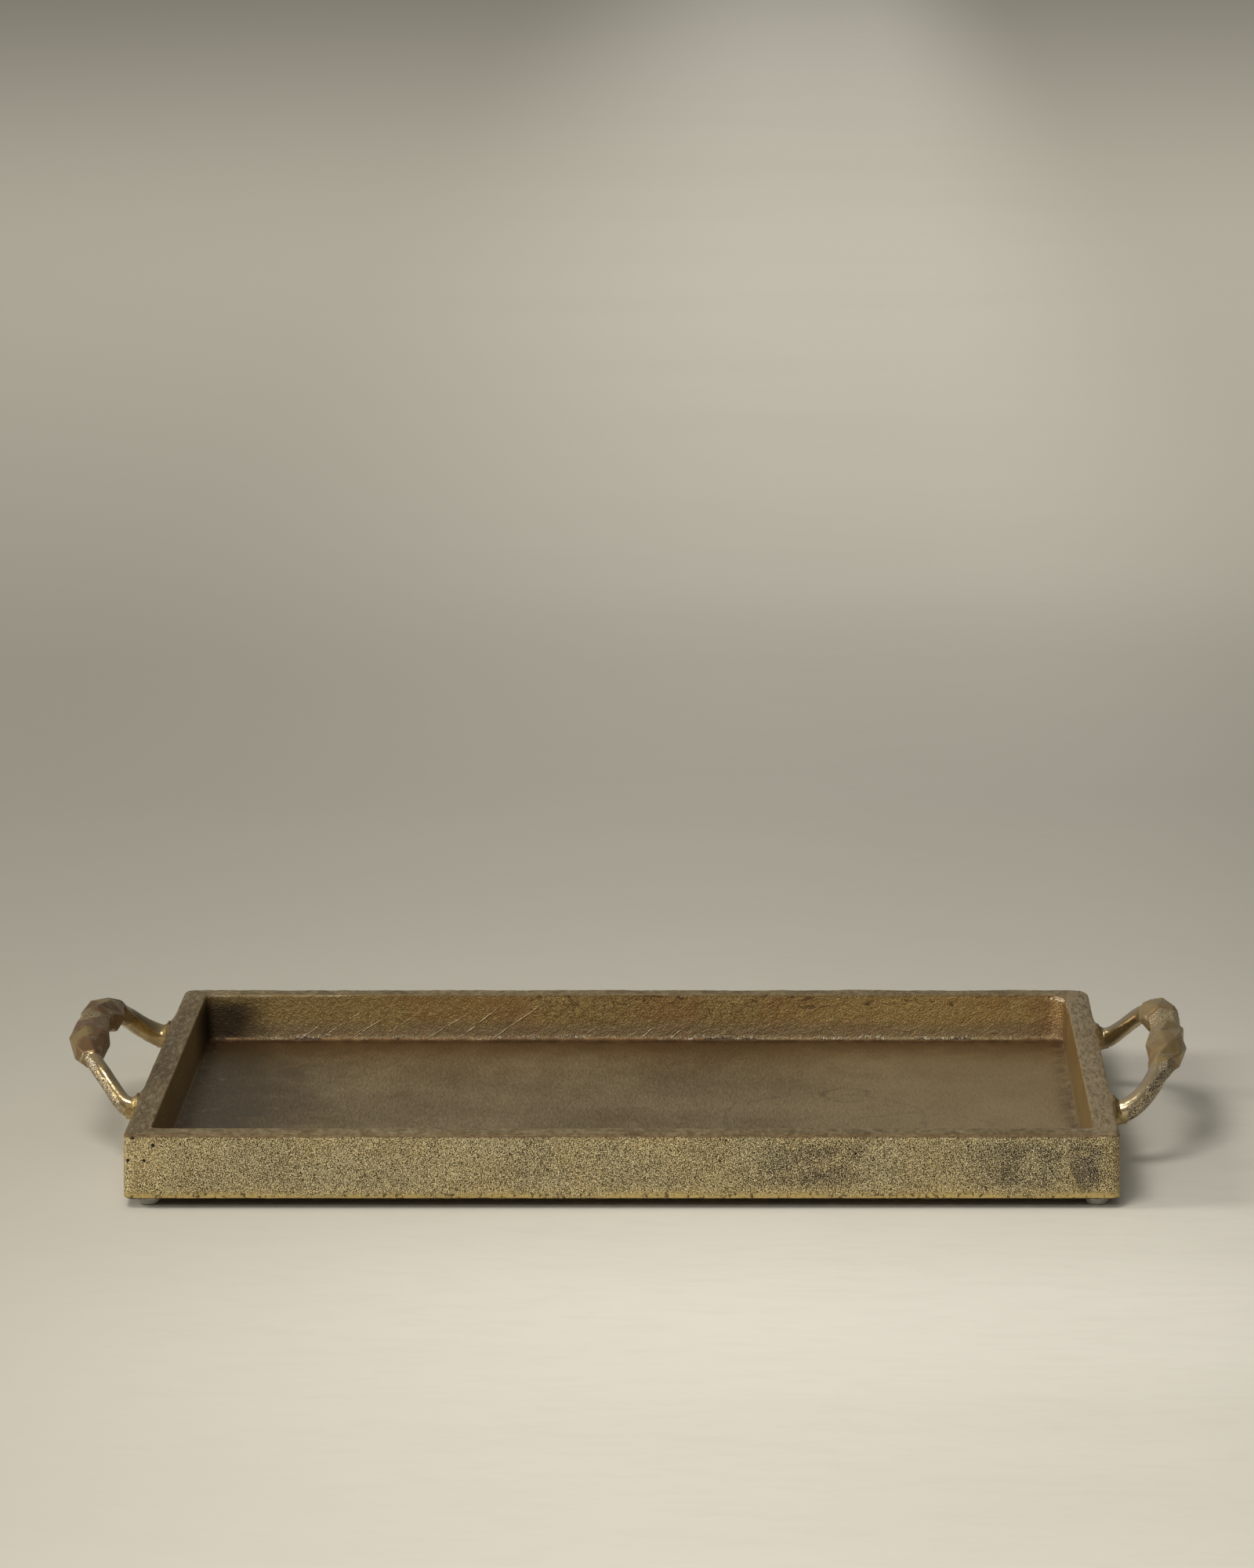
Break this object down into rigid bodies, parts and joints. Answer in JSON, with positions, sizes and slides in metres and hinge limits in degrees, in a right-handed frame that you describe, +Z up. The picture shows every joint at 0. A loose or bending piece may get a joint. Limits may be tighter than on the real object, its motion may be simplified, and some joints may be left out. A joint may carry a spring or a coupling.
{
  "type": "brass tray",
  "caption": "Shallow rectangular cast brass serving tray with two faceted twig handles on its end walls and small clear bumper feet.",
  "frame": {"origin": "middle of the footprint, on the surface that the feet stand on", "axes": "+X along the tray towards the right-hand handle, +Y towards the rear long side, +Z up"},
  "size_m": [0.5978, 0.3096, 0.0661],
  "materials": {
    "cast_brass": "sand-cast and antiqued outside, satin brushed on the rim and floor",
    "handle_brass": "polished twig legs, brown patina on the knot",
    "braze_metal": "filed braze run, antiqued",
    "clear_bumper": "clear soft polyurethane, glossy",
    "adhesive": "clear pressure-sensitive film"
  },
  "bodies": {
    "root": {"tray_body": "cast_brass", "handle_left": "handle_brass", "handle_right": "handle_brass", "braze_left_front": "braze_metal", "braze_left_rear": "braze_metal", "braze_right_front": "braze_metal", "braze_right_rear": "braze_metal", "foot_front_left": "clear_bumper", "foot_front_right": "clear_bumper", "foot_rear_left": "clear_bumper", "foot_rear_right": "clear_bumper", "adhesive_front_left": "adhesive", "adhesive_front_right": "adhesive", "adhesive_rear_left": "adhesive", "adhesive_rear_right": "adhesive"}
  },
  "joints": []
}
